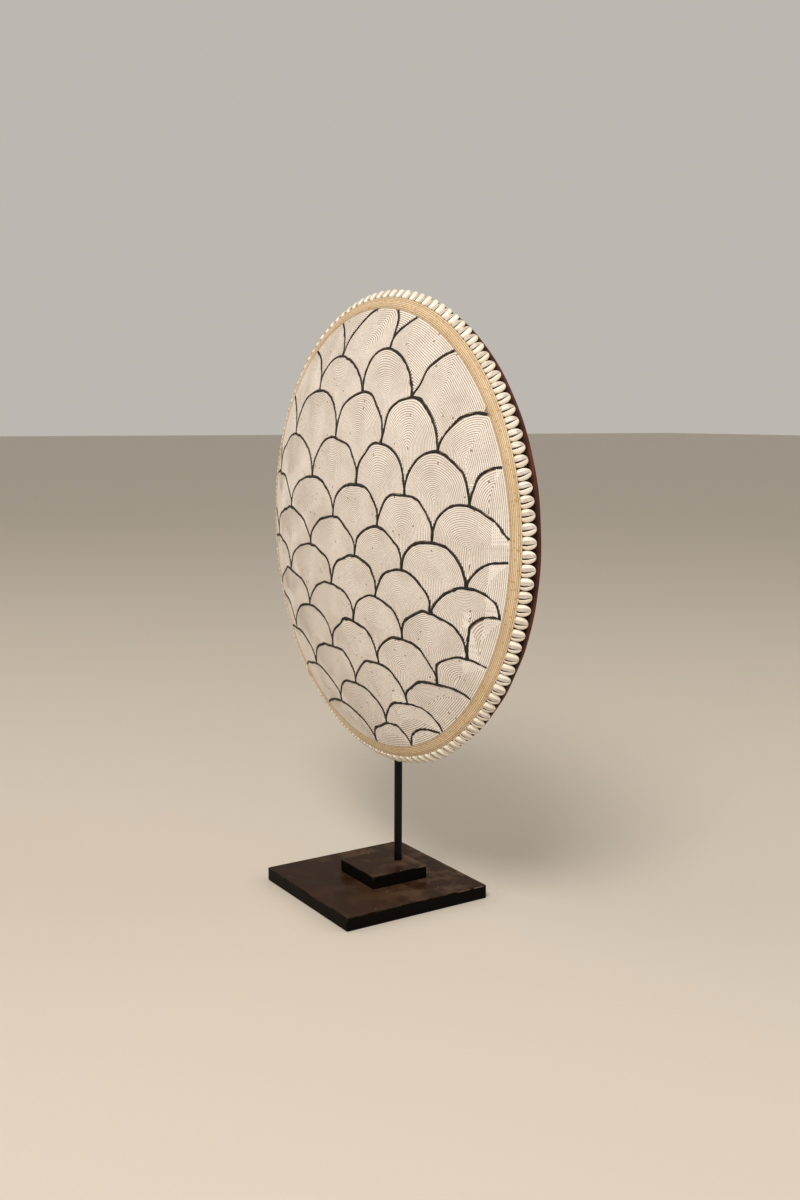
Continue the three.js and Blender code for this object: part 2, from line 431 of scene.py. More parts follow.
def shield_piece(name, points, faces, material, slot, node, marks=None, flip=False):
    """Makes a smooth piece given about the middle of the shield, at its height on the rod."""
    mesh = bpy.data.meshes.new(name)
    mesh.from_pydata((points + (0, 0, SHIELD_CENTRE_HEIGHT)) * MM, [], faces[:, ::-1] if flip else faces)
    mesh.update()
    mesh.shade_smooth()
    if marks is not None:
        layer = mesh.attributes.new("marks", "FLOAT_VECTOR", "POINT")
        layer.data.foreach_set("vector", marks.astype(np.float32).ravel())
    return add_piece(name, mesh, material, node)


def turned_piece(name, section, material, slot, node):
    """Makes a piece from a closed (radius, set back) section turned right round."""
    return shield_piece(name, *turn_section(section, TURN_STEPS[name]), material, slot, node, flip=True)


def turn_section(section, steps):
    """Points and faces of a closed (radius, set back) section turned right round."""
    along = len(section)
    angle = np.linspace(0, 2 * math.pi, steps, endpoint=False)[:, None]
    points = turned(np.broadcast_to(section, (steps, along, 2)), np.broadcast_to(angle, (steps, along)))
    i, j = np.arange(steps)[:, None], np.arange(along)
    nxt, up = (i + 1) % steps, (j + 1) % along
    corners = (i * along + j, nxt * along + j, nxt * along + up, i * along + up)
    return points.reshape(-1, 3), np.stack(np.broadcast_arrays(*corners), -1).reshape(-1, 4)


def stacked_piece(name, rings, material, node):
    """Makes a piece of the stand from level rings of points, closed below and above."""
    levels, count = rings.shape[:2]
    faces = []
    for low in range(0, (levels - 1) * count, count):
        for j in range(count):
            beside = low + (j + 1) % count
            faces.append((low + j, beside, beside + count, low + j + count))
    last = (levels - 1) * count
    faces += [tuple(range(count - 1, -1, -1)), tuple(range(last, last + count))]
    mesh = bpy.data.meshes.new(name)
    mesh.from_pydata(rings.reshape(-1, 3) * MM, [], faces)
    mesh.update()
    for face in mesh.polygons:
        face.use_smooth = face.area < FLAT_OVER * MM * MM
    return add_piece(name, mesh, material, node)


def slab(name, shape, material, node):
    """A square slab with softly rounded arrises and corners."""
    half, straight = shape["side"] / 2, shape["side"] / 2 - CORNER_RADIUS
    ring = []
    for x, y, start in ((1, 1, 0), (-1, 1, 0.5), (-1, -1, 1), (1, -1, 1.5)):
        for turn in np.linspace(0, math.pi / 2, CORNER_POINTS) + start * math.pi:
            ring.append((straight * x + CORNER_RADIUS * math.cos(turn),
                         straight * y + CORNER_RADIUS * math.sin(turn)))
    arris, top = shape["arris"], shape["thickness"]
    levels = [(arris * (1 - math.sin(t)), arris * (1 - math.cos(t)))
              for t in np.linspace(0, math.pi / 2, ARRIS_POINTS)]
    levels += [(inset, top - low) for inset, low in levels[::-1]]
    rings = [[(x * (half - inset) / half, y * (half - inset) / half + shape["set_back"],
               shape["bottom"] + height) for x, y in ring] for inset, height in levels]
    return stacked_piece(name, np.array(rings), material, node)


def cut_round(piece, bottom, top):
    """Bores the upright round hole for the rod in a piece."""
    radius = ROD_DIAMETER / 2 + GAP
    angle = np.linspace(0, 2 * math.pi, DRILL_STEPS, endpoint=False)
    ring = np.stack([np.cos(angle) * radius, np.sin(angle) * radius + ROD_SET_BACK], -1)
    points = [(*p, z) for z in (bottom, top) for p in ring]
    faces = [tuple(range(DRILL_STEPS - 1, -1, -1)), tuple(range(DRILL_STEPS, 2 * DRILL_STEPS))]
    for i in range(DRILL_STEPS):
        beside = (i + 1) % DRILL_STEPS
        faces.append((i, beside, beside + DRILL_STEPS, i + DRILL_STEPS))
    drill = bpy.data.meshes.new("drill")
    drill.from_pydata(np.array(points) * MM, [], faces)
    tool = bpy.data.objects.new("drill", drill)
    bpy.context.scene.collection.objects.link(tool)
    bore = piece.modifiers.new("bore", "BOOLEAN")
    bore.object, bore.solver = tool, "EXACT"
    bpy.context.view_layer.update()
    cut = bpy.data.meshes.new_from_object(piece.evaluated_get(bpy.context.evaluated_depsgraph_get()))
    piece.modifiers.remove(bore)
    piece.data = cut
    bpy.data.objects.remove(tool)


# Materials

# A wave texture's bands lie this far apart, in metres, at a scale of 1
WAVE_BAND = math.pi / 10
# cowrie teeth lie this far apart along the slit
TEETH_PITCH = 0.8157
# threads are drawn this much coarser than they are, so that they show
THREAD_COARSER = 1.57


def wire(tree, node, inputs):
    """Gives a node's inputs a number, a colour, a socket, or the first output of another node."""
    for socket, value in inputs.items():
        if isinstance(value, bpy.types.Node):
            value = next(output for output in value.outputs if output.enabled)
        if isinstance(value, bpy.types.NodeSocket):
            tree.links.new(value, node.inputs[socket])
        else:
            node.inputs[socket].default_value = value


def add(tree, kind, inputs=None, **settings):
    """Adds a shader node with its settings and links."""
    made = tree.nodes.new("ShaderNode" + kind)
    for name, value in settings.items():
        setattr(made, name, value)
    wire(tree, made, inputs or {})
    return made


def features(millimetres):
    """Scale at which a noise, or a pattern of cells, has features of this size."""
    return 1 / (millimetres * MM)


def new_material(name):
    """Makes a material, and gives its tree and its main shader with it."""
    material = bpy.data.materials.new(name)
    material.use_nodes = True
    tree = material.node_tree
    return material, tree, tree.nodes["Principled BSDF"]


def glass_beads(name, colour, thread, odd_bead, odd_share, spread, roughness, thread_and_shade_shows, joint_shows):
    """Opaque glass seed beads, moulded round and fire-polished, strung and couched down in rows.
    The eye gets small round highlights, joints and row edges darkened towards the thread's colour, partly the
    thread and partly painted shade between beads, and beads that differ a little in tone."""
    material, tree, shader = new_material(name)
    marks = add(tree, "Attribute", attribute_name="marks").outputs["Vector"]
    along, side, tone = add(tree, "SeparateXYZ", {0: marks}).outputs
    cell = add(tree, "CombineXYZ", {0: add(tree, "Math", {0: along}, operation="FLOOR"),
                                    1: add(tree, "Math", {0: side}, operation="FLOOR")})
    chance = add(tree, "TexWhiteNoise", {"Vector": cell}, noise_dimensions="2D")
    lightness = add(tree, "MapRange", {0: chance, 3: 1 - spread, 4: 1 + spread})
    base = add(tree, "Mix", {0: 1.0, 6: colour, 7: lightness}, data_type="RGBA", blend_type="MULTIPLY")
    odd = add(tree, "Math", {0: chance, 1: 1 - odd_share}, operation="GREATER_THAN")
    base = add(tree, "Mix", {0: odd, 6: base, 7: odd_bead}, data_type="RGBA")
    base = add(tree, "Mix", {0: 1.0, 6: base, 7: tone}, data_type="RGBA", blend_type="MULTIPLY")
    # joints along a row and the edges between rows darken towards the thread's colour: partly the thread
    # showing, partly painted shade between beads
    edges = []
    for way, most in ((along, joint_shows), (side, 1.0)):
        part = add(tree, "Math", {0: way}, operation="FRACT")
        off = add(tree, "Math", {0: part, 1: 0.5}, operation="SUBTRACT")
        far = add(tree, "Math", {0: off}, operation="ABSOLUTE")
        edges.append(add(tree, "MapRange", {0: far, 1: 0.3, 2: 0.5, 4: most},
                         interpolation_type="SMOOTHSTEP"))
    joint = add(tree, "Math", {0: edges[0], 1: edges[1]}, operation="MAXIMUM")
    strength = add(tree, "Math", {0: joint, 1: thread_and_shade_shows}, operation="MULTIPLY")
    base = add(tree, "Mix", {0: strength, 6: base, 7: thread}, data_type="RGBA")
    place = add(tree, "TexCoord").outputs["Object"]
    handled = add(tree, "TexNoise", {"Vector": place, "Scale": features(31.25), "Detail": 5.0})
    grime = add(tree, "MapRange", {0: handled, 1: 0.42, 2: 0.72, 3: 0.0, 4: 0.3})
    base = add(tree, "Mix", {0: grime, 6: base, 7: thread}, data_type="RGBA")
    wire(tree, shader, {"Base Color": base, "Roughness": roughness, "IOR": 1.52, "Specular IOR Level": 0.4})
    return material


def cowrie_material(colours, length):
    """Cowrie shell, a natural glaze over a chalky body.
    The eye gets a cream lower lobe, a greyer upper one with a cream rim, a slit painted near black as painted
    shade, with fine teeth, and a few tan shells."""
    material, tree, shader = new_material("polished_cowrie_shell")
    marks = add(tree, "Attribute", attribute_name="marks").outputs["Vector"]
    along, across, number = add(tree, "SeparateXYZ", {0: marks}).outputs
    shell = add(tree, "TexWhiteNoise", {"W": add(tree, "Math", {0: number}, operation="FLOOR")},
                noise_dimensions="1D")
    place = add(tree, "TexCoord").outputs["Object"]
    aged = add(tree, "MapRange", {0: shell, 3: 0.0, 4: 0.5})
    cream = add(tree, "Mix", {0: aged, 6: colours.shell, 7: colours.old_shell}, data_type="RGBA")
    tan = add(tree, "Math", {0: shell, 1: 0.975}, operation="GREATER_THAN")
    cream = add(tree, "Mix", {0: tan, 6: cream, 7: linear("#B9956A")}, data_type="RGBA")
    from_lobe = add(tree, "Math", {0: across, 1: DIP_PLACE}, operation="SUBTRACT")
    off_lobe = add(tree, "Math", {0: from_lobe}, operation="ABSOLUTE")
    upper = add(tree, "MapRange", {0: off_lobe, 1: 0.24, 2: 0.46, 3: 1.0, 4: 0.0},
                interpolation_type="SMOOTHSTEP")
    mottle = add(tree, "TexNoise", {"Vector": place, "Scale": features(3.3333), "Detail": 3.0})
    patchy = add(tree, "MapRange", {0: mottle, 1: 0.35, 2: 0.65, 3: 0.55, 4: 1.0})
    greyness = add(tree, "Math", {0: upper, 1: patchy}, operation="MULTIPLY")
    pale = add(tree, "Mix", {0: greyness, 6: cream, 7: linear("#B5ABA0")}, data_type="RGBA")
    off = add(tree, "Math", {0: across}, operation="ABSOLUTE")
    # the place along a shell runs from -1 to 1, so its half length counts as 1
    teeth = add(tree, "TexWave", {"Vector": add(tree, "CombineXYZ", {0: along}), "Distortion": 0.6,
                                  "Scale": WAVE_BAND * length / 2 / TEETH_PITCH}, bands_direction="X")
    near = add(tree, "MapRange", {0: off, 1: 0.06, 2: 0.3, 3: 0.35, 4: 0.0})
    toothed = add(tree, "Math", {0: teeth.outputs["Fac"], 1: near}, operation="MULTIPLY")
    pale = add(tree, "Mix", {0: toothed, 6: pale, 7: linear("#8C6A45")}, data_type="RGBA")
    # the slit is painted near black, narrowing towards the tip: painted shade inside the slit, where it opens
    # into the shell's hollow
    gape = add(tree, "MapRange", {0: along, 1: -1.0, 2: 0.95, 3: 0.17, 4: 0.03})
    into = add(tree, "Math", {0: off, 1: gape}, operation="DIVIDE")
    slit = add(tree, "MapRange", {0: into, 1: 0.55, 2: 1.15, 3: 1.0, 4: 0.0}, interpolation_type="SMOOTHSTEP")
    base = add(tree, "Mix", {0: slit, 6: pale, 7: linear("#1E130C")}, data_type="RGBA")
    bump = add(tree, "Bump", {"Height": toothed, "Distance": 0.0003, "Strength": 0.6})
    wire(tree, shader, {"Base Color": base, "Normal": bump, "Roughness": 0.3, "IOR": 1.56})
    return material


def cloth_material(name, colour, thread_pitch):
    """Plain-woven cotton, dyed. The eye gets a matt surface with the thread's grid just showing."""
    material, tree, shader = new_material(name)
    place = add(tree, "TexCoord").outputs["Object"]
    scale = WAVE_BAND / (thread_pitch * MM * THREAD_COARSER)
    warp = add(tree, "TexWave", {"Vector": place, "Scale": scale, "Distortion": 1.0}, bands_direction="X")
    weft = add(tree, "TexWave", {"Vector": place, "Scale": scale, "Distortion": 1.0}, bands_direction="Z")
    weave = add(tree, "Math", {0: warp.outputs["Fac"], 1: weft.outputs["Fac"]}, operation="MULTIPLY")
    fluff = add(tree, "TexNoise", {"Vector": place, "Scale": features(1.6667), "Detail": 4.0})
    shade = add(tree, "Mix", {0: 0.5, 6: colour, 7: fluff}, data_type="RGBA", blend_type="MULTIPLY")
    base = add(tree, "Mix", {0: weave, 6: shade, 7: colour}, data_type="RGBA")
    bump = add(tree, "Bump", {"Height": weave, "Distance": 0.0002, "Strength": 0.5})
    wire(tree, shader, {"Base Color": base, "Normal": bump, "Roughness": 0.9, "Specular IOR Level": 0.05})
    return material


def carved_wood_material(dark, brown):
    """Light hardwood, carved with a gouge, stained near black, rubbed red-brown on the edge and back.
    The eye gets dull dark grain, a warmer worn rim, and fine pores."""
    material, tree, shader = new_material("gouge_carved_stained_wood")
    place = add(tree, "TexCoord").outputs["Object"]
    spread = add(tree, "Mapping", {"Vector": place, "Scale": (1.0, 1.0, 0.12)})
    # grain and pores are drawn about three times as coarse as the wood's own, so that they show
    grain = add(tree, "TexNoise", {"Vector": spread, "Scale": features(5.2632), "Detail": 6.0,
                                   "Roughness": 0.65})
    pores = add(tree, "TexNoise", {"Vector": spread, "Scale": features(1.1111), "Detail": 2.0})
    blotch = add(tree, "TexNoise", {"Vector": place, "Scale": features(45.455), "Detail": 3.0})
    set_back = add(tree, "SeparateXYZ", {0: place}).outputs["Y"]
    facing = add(tree, "SeparateXYZ", {0: add(tree, "NewGeometry").outputs["Normal"]}).outputs["Y"]
    edge = add(tree, "MapRange", {0: set_back, 1: 0.021, 2: 0.025}, interpolation_type="SMOOTHSTEP")
    rear = add(tree, "MapRange", {0: facing, 1: 0.1, 2: 0.5})
    rubbed = add(tree, "Math", {0: edge, 1: rear}, operation="MAXIMUM")
    patchy = add(tree, "MapRange", {0: blotch, 1: 0.3, 2: 0.6, 3: 0.5, 4: 1.0})
    worn = add(tree, "Math", {0: rubbed, 1: patchy}, operation="MULTIPLY")
    base = add(tree, "Mix", {0: worn, 6: dark, 7: brown}, data_type="RGBA")
    streak = add(tree, "MapRange", {0: grain, 1: 0.35, 2: 0.62, 3: 0.5, 4: 1.15})
    base = add(tree, "Mix", {0: 1.0, 6: base, 7: streak}, data_type="RGBA", blend_type="MULTIPLY")
    rough = add(tree, "MapRange", {0: grain, 1: 0.3, 2: 0.7, 3: 0.68, 4: 0.5})
    depth = add(tree, "Math", {0: grain, 1: pores}, operation="ADD")
    bump = add(tree, "Bump", {"Height": depth, "Distance": 0.0004, "Strength": 0.5})
    wire(tree, shader, {"Base Color": base, "Roughness": rough, "Normal": bump, "Specular IOR Level": 0.08})
    return material


def lacquered_wood_material(side, top):
    """Ebonised wood under thin sprayed lacquer, handled and dusty on top.
    The eye gets tops painted brown as a painted reflection in the lacquer, near-black sides, dust smears, a
    few pale specks, and worn arrises."""
    material, tree, shader = new_material("ebonised_lacquered_wood")
    place = add(tree, "TexCoord").outputs["Object"]
    up = add(tree, "SeparateXYZ", {0: add(tree, "NewGeometry").outputs["Normal"]}).outputs["Z"]
    lies_up = add(tree, "MapRange", {0: up, 1: 0.8, 2: 0.98})
    back = add(tree, "SeparateXYZ", {0: place}).outputs["Y"]
    smudge = add(tree, "TexNoise", {"Vector": place, "Scale": features(38.462), "Detail": 5.0,
                                    "Roughness": 0.6})
    # fine scratches all lie one way and are drawn about 1 mm wide, so that they show
    scratch_way = add(tree, "Mapping", {"Vector": place, "Rotation": (0.0, 0.0, 0.6),
                                        "Scale": (1.0, 22.0, 1.0)})
    scratch = add(tree, "TexNoise", {"Vector": scratch_way, "Scale": features(23.81), "Detail": 3.0})
    speck = add(tree, "TexVoronoi", {"Vector": place, "Scale": features(16.667)}, voronoi_dimensions="2D")
    spot = add(tree, "MapRange", {0: speck.outputs["Distance"], 1: 0.03, 2: 0.045, 3: 1.0, 4: 0.0})
    luck = add(tree, "Math", {0: add(tree, "SeparateXYZ", {0: speck.outputs["Color"]}), 1: 0.93},
               operation="GREATER_THAN")
    spots = add(tree, "Math", {0: spot, 1: luck}, operation="MULTIPLY")
    swept = add(tree, "MapRange", {0: back, 1: -0.05, 2: 0.05, 3: 0.25, 4: 1.0})
    smear = add(tree, "MapRange", {0: smudge, 1: 0.48, 2: 0.64, 3: 0.0, 4: 0.6})
    dusty = add(tree, "Math", {0: smear, 1: swept}, operation="MULTIPLY")
    above = add(tree, "Mix", {0: dusty, 6: top, 7: linear("#6B5440")}, data_type="RGBA")
    above = add(tree, "Mix", {0: spots, 6: above, 7: linear("#8D7B66")}, data_type="RGBA")
    # faces that lie up get the brown top colour: painted reflection in the black lacquer, with real dust and
    # specks over it
    base = add(tree, "Mix", {0: lies_up, 6: side, 7: above}, data_type="RGBA")
    # arrises are where the surface turns from lying to standing; the rear ones are rubbed most
    past = add(tree, "Math", {0: 1.0, 1: up}, operation="SUBTRACT")
    turning = add(tree, "Math", {0: up, 1: past}, operation="MULTIPLY")
    arris = add(tree, "MapRange", {0: turning, 1: 0.05, 2: 0.16})
    rubbing = add(tree, "TexNoise", {"Vector": place, "Scale": features(16.667), "Detail": 4.0})
    share = add(tree, "MapRange", {0: rubbing, 1: 0.4, 2: 0.62, 3: 0.0, 4: 0.8})
    rear = add(tree, "MapRange", {0: back, 1: 0.0, 2: 0.085, 3: 0.12, 4: 1.0})
    worn = add(tree, "Math", {0: arris, 1: share}, operation="MULTIPLY")
    worn = add(tree, "Math", {0: worn, 1: rear}, operation="MULTIPLY")
    rear_line = add(tree, "MapRange", {0: back, 1: 0.0855, 2: 0.0885, 3: 0.0, 4: 0.5})
    lined = add(tree, "Math", {0: rear_line, 1: share}, operation="MULTIPLY")
    lined = add(tree, "Math", {0: lined, 1: lies_up}, operation="MULTIPLY")
    worn = add(tree, "Math", {0: worn, 1: lined}, operation="MAXIMUM")
    base = add(tree, "Mix", {0: worn, 6: base, 7: linear("#8E7A64")}, data_type="RGBA")
    rough = add(tree, "MapRange", {0: smudge, 1: 0.3, 2: 0.75, 3: 0.3, 4: 0.5})
    bump = add(tree, "Bump", {"Height": scratch, "Distance": 0.0001, "Strength": 0.35})
    wire(tree, shader, {"Base Color": base, "Roughness": rough, "Normal": bump, "Specular IOR Level": 0.03})
    return material


def blackened_steel_material(colour):
    """Mild steel bar, blackened in oil. The eye gets a satin black with faint drawn lines along it."""
    material, tree, shader = new_material("oil_blackened_steel")
    place = add(tree, "TexCoord").outputs["Object"]
    drawn = add(tree, "Mapping", {"Vector": place, "Scale": (1.0, 1.0, 0.03)})
    lines = add(tree, "TexNoise", {"Vector": drawn, "Scale": features(0.66667), "Detail": 3.0})
    patch = add(tree, "TexNoise", {"Vector": place, "Scale": features(22.222), "Detail": 4.0})
    base = add(tree, "Mix", {0: 0.6, 6: colour, 7: patch}, data_type="RGBA", blend_type="MULTIPLY")
    rough = add(tree, "MapRange", {0: patch, 1: 0.3, 2: 0.7, 3: 0.3, 4: 0.5})
    bump = add(tree, "Bump", {"Height": lines, "Distance": 0.00005, "Strength": 0.4})
    wire(tree, shader, {"Base Color": base, "Roughness": rough, "Normal": bump, "Specular IOR Level": 0.15})
    return material


def floor_material(colour):
    """Matt backdrop paper over a board: a plain pale surface with a faint even tooth."""
    material, tree, shader = new_material("matt_backdrop_paper")
    place = add(tree, "TexCoord").outputs["Object"]
    # the paper's tooth is drawn coarser than it is
    tooth = add(tree, "TexNoise", {"Vector": place, "Scale": features(1.1111)})
    base = add(tree, "Mix", {0: 0.06, 6: colour, 7: tooth}, data_type="RGBA", blend_type="MULTIPLY")
    wire(tree, shader, {"Base Color": base, "Roughness": 0.85})
    return material


# Settings in the sidebar

def length_setting(name, description, millimetres):
    return bpy.props.FloatProperty(name=name, description=description, default=millimetres * MM,
                                   min=0.0, unit="LENGTH", precision=5)


def colour_setting(name, description, code):
    return bpy.props.FloatVectorProperty(name=name, description=description, size=4, min=0.0, max=1.0,
                                         subtype="COLOR", default=linear(code))


class ShieldSizes(bpy.types.PropertyGroup):
    row_pitch: length_setting("Row pitch", "Distance between rows of white beads", 2.0)
    bead_length: length_setting("Bead length", "Length of a white bead along its row", 1.9)
    line_width: length_setting("Line width", "Width of the black bead lines", 3.0)
    band_bead: length_setting("Band bead", "Length of a tan bead along its row", 1.6)
    band_rows: bpy.props.IntProperty(name="Band rows", description="Rows of tan beads across the band",
                                     default=7, min=1)
    shell_length: length_setting("Cowrie length", "Length of a cowrie from the band outwards", 13.5)
    shell_width: length_setting("Cowrie width", "Width of a cowrie along the rim", 12.4)
    shells: bpy.props.IntProperty(name="Cowries", description="Number of cowries round the rim",
                                  default=122, min=3)


class ShieldColours(bpy.types.PropertyGroup):
    white_beads: colour_setting("White beads", "Opaque warm white glass", "#ECE5DC")
    black_beads: colour_setting("Black beads", "Opaque black glass", "#0E0B09")
    tan_beads: colour_setting("Tan beads", "Opaque tan glass", "#DFC6A2")
    shell: colour_setting("Cowries", "Cream shell", "#F3EADA")
    old_shell: colour_setting("Old cowries", "Shell yellowed with age", "#DFCFB2")
    cloth: colour_setting("Cloth", "Dyed cotton under beads and shells", "#1E140E")
    bead_cloth: colour_setting("Bead cloth", "Cotton that the beads are couched on", "#A08D77")
    dark_wood: colour_setting("Dark wood", "Stain in front of the rim", "#180E09")
    brown_wood: colour_setting("Brown wood", "Stain rubbed back at the edge", "#6A3421")
    lacquer: colour_setting("Lacquer", "Black lacquer on the foot's sides", "#0D0907")
    # the brown on the foot's tops is painted reflection in the black lacquer, not a colour of the lacquer
    lacquer_painted_reflection: colour_setting("Lacquer on top", "Brown handled lacquer on the foot's tops", "#2E1D12")
    steel: colour_setting("Steel", "Blackened rod", "#070605")
    floor: colour_setting("Floor", "Backdrop", "#D3CABE")


# Operators

class SHIELD_OT_face_beads(bpy.types.Operator):
    """Lay the white beads of every scale in rows that follow its arch, and the rows along the band"""
    bl_idname = "shield.face_beads"
    bl_label = "White beads"

    def execute(self, context):
        sizes, colours = context.scene.shield_sizes, context.scene.shield_colours
        # thread is the colour the joints and row edges darken to: the thread itself and painted shade between
        # beads; grime darkens to it too
        material = glass_beads("opaque_white_glass_seed_beads", colours.white_beads,
                               thread=linear("#A89988"), odd_bead=linear("#8C7A66"), odd_share=0.003,
                               spread=0.05, roughness=0.36, thread_and_shade_shows=0.2, joint_shows=0.8)
        pitch, bead, line = (v / MM for v in (sizes.row_pitch, sizes.bead_length, sizes.line_width))
        thirds = {name: BeadRows(on_face, (-1, 0, 1)) for name in ("upper", "middle", "lower")}
        dice = np.random.default_rng(SEED)
        angle = np.linspace(0, 2 * math.pi, BAND_ROWS_SAMPLES)
        spoke = np.stack([np.cos(angle), np.sin(angle)], -1)
        for row, arch, covers in scales():
            rows = thirds["upper" if row < UPPER_ROWS else "middle" if row < MIDDLE_ROWS else "lower"]
            tone = 1 + dice.uniform(*SCALE_TONES)
            count = round((arch.reach - line / 2) / pitch)
            step = (arch.reach - line / 2) / count
            laid = []
            for number in range(count):
                inset = (number + 0.5) * step
                shares = [1 - (line / 2 + inset + k * step / 2) / arch.reach for k in (-1, 0, 1)]
                sides = [arch.line(share, True) for share in shares]
                to_band = FACE_RADIUS - np.hypot(sides[1][:, 0], sides[1][:, 1])
                laid.append((sides, to_band > inset - MITRE_LAP))
            for number in range(int(BAND_ROWS_REACH / pitch)):
                inset = (number + 0.5) * pitch
                sides = [spoke * (FACE_RADIUS - inset + k * pitch / 2) for k in (1, 0, -1)]
                laid.append((sides, arch.depth(sides[1]) - line / 2 > inset - MITRE_LAP))
            for sides, keep in laid:
                for cover in covers:
                    keep = keep & (cover.distance(sides[1]) < -ROW_END)
                for start, end in runs(keep):
                    if end - start > SHORTEST_RUN:
                        rows.lay(*(side[start:end] for side in sides), bead, tone * dice.uniform(*ROW_TONES))
        for name, rows in thirds.items():
            rows.make("white_beads_" + name, material, "white_beads", "bead_face")
        return {"FINISHED"}


class SHIELD_OT_scale_lines(bpy.types.Operator):
    """Lay the black bead lines along the tops of the scales"""
    bl_idname = "shield.scale_lines"
    bl_label = "Black lines"

    def execute(self, context):
        sizes, colours = context.scene.shield_sizes, context.scene.shield_colours
        # thread is the colour the joints and row edges darken to: the thread itself and painted shade between
        # beads
        material = glass_beads("opaque_black_glass_seed_beads", colours.black_beads,
                               thread=linear("#050404"), odd_bead=linear("#1E1916"), odd_share=0.04,
                               spread=0.3, roughness=0.5, thread_and_shade_shows=0.6, joint_shows=1.0)
        lines = BeadRows(on_face, (-1, -0.6, 0, 0.6, 1))
        dice = np.random.default_rng(SEED + 3)
        for row, arch, covers in scales():
            crest = arch.line(1.0, False)
            way = np.gradient(crest, axis=0)
            across = np.stack([-way[:, 1], way[:, 0]], -1) / np.linalg.norm(way, axis=1)[:, None]
            wander = LINE_WANDER * waver(crest, LINE_WANDER_LENGTH, SEED + 9)
            crest = crest + wander[:, None] * across
            travelled = np.concatenate([[0], np.cumsum(np.linalg.norm(np.diff(crest, axis=0), axis=1))])
            to_end = np.minimum(travelled, travelled[-1] - travelled)
            knot = KNOT_SWELL * np.exp(-(to_end / KNOT_REACH) ** 2)
            broad = 1 + LINE_UNEVEN * waver(crest, LINE_UNEVEN_LENGTH, SEED + 4) + knot
            half = (sizes.line_width / MM / 2 * broad)[:, None] * across
            keep = np.hypot(crest[:, 0], crest[:, 1]) < FACE_RADIUS - LINE_TO_BAND
            for start, end in runs(keep):
                if travelled[end - 1] - travelled[start] > LINE_SHORTEST:
                    sides = [line[start:end] for line in (crest + half, crest, crest - half)]
                    lines.lay(*sides, LINE_BEAD, dice.uniform(*LINE_TONES), height=LINE_HEIGHT)
        lines.make("black_bead_lines", material, "black_beads", "bead_face")
        return {"FINISHED"}


class SHIELD_OT_bead_cloth(bpy.types.Operator):
    """Stretch the cloth that the face's beads are couched on over the dome"""
    bl_idname = "shield.bead_cloth"
    bl_label = "Bead cloth"

    def execute(self, context):
        material = cloth_material("undyed_woven_cotton", context.scene.shield_colours.bead_cloth, 0.5)
        radii = np.linspace(0, FACE_RADIUS - GAP, CLOTH_RINGS)
        front = np.stack([np.maximum(radii, AXIS_RADIUS), dome(radii)[0] + BEAD_HEIGHT], -1)
        section = np.concatenate([front, (front + (0, CLOTH_THICKNESS))[::-1]])
        turned_piece("bead_cloth", section, material, "dark_cloth", "bead_face")
        return {"FINISHED"}


class SHIELD_OT_band(bpy.types.Operator):
    """Lay the band of tan beads round the face, on its own strip of cloth"""
    bl_idname = "shield.band"
    bl_label = "Bead band"

    def execute(self, context):
        sizes, colours = context.scene.shield_sizes, context.scene.shield_colours
        # thread is the colour the joints and row edges darken to: the thread itself and painted shade between
        # rows
        material = glass_beads("opaque_tan_glass_seed_beads", colours.tan_beads,
                               thread=linear("#B08E5E"), odd_bead=linear("#C9A36C"), odd_share=0.05,
                               spread=0.05, roughness=0.42, thread_and_shade_shows=0.45, joint_shows=0.15)
        rows = BeadRows(on_band, (-1, 0, 1), BAND_JOINT_DIP)
        pitch = BAND_WIDTH / sizes.band_rows
        dice = np.random.default_rng(SEED + 5)
        for number in range(sizes.band_rows):
            angle = np.linspace(0, 2 * math.pi, BAND_SAMPLES) + dice.uniform(0, 0.1)
            across = (number + 0.5) * pitch
            sides = [np.stack([angle, np.full_like(angle, across + k * pitch / 2)], -1) for k in (-1, 0, 1)]
            radius = (FACE_EDGE + across * BAND_RUN)[0]
            measure = np.stack([angle * radius, np.zeros_like(angle)], -1)
            tone = INNER_ROW_TONE if number == 0 else dice.uniform(*BAND_TONES)
            rows.lay(*sides, sizes.band_bead / MM, tone, measure)
        rows.make("tan_bead_band", material, "tan_beads", "bead_band", flip=True)
        across = np.linspace(0, BAND_WIDTH, BAND_STRIP_POINTS)
        crown = BAND_CROWN * (1 - (2 * across / BAND_WIDTH - 1) ** 2)
        line = FACE_EDGE + across[:, None] * BAND_RUN
        top = line + (BEAD_HEIGHT - crown)[:, None] * inward(BAND_RUN)
        under = line + BAND_THICKNESS * inward(BAND_RUN)
        turned_piece("band_cloth", np.concatenate([top, under[::-1]]),
                     cloth_material("tan_woven_cotton", linear("#7A5A34"), 0.5), "dark_cloth", "bead_band")
        return {"FINISHED"}


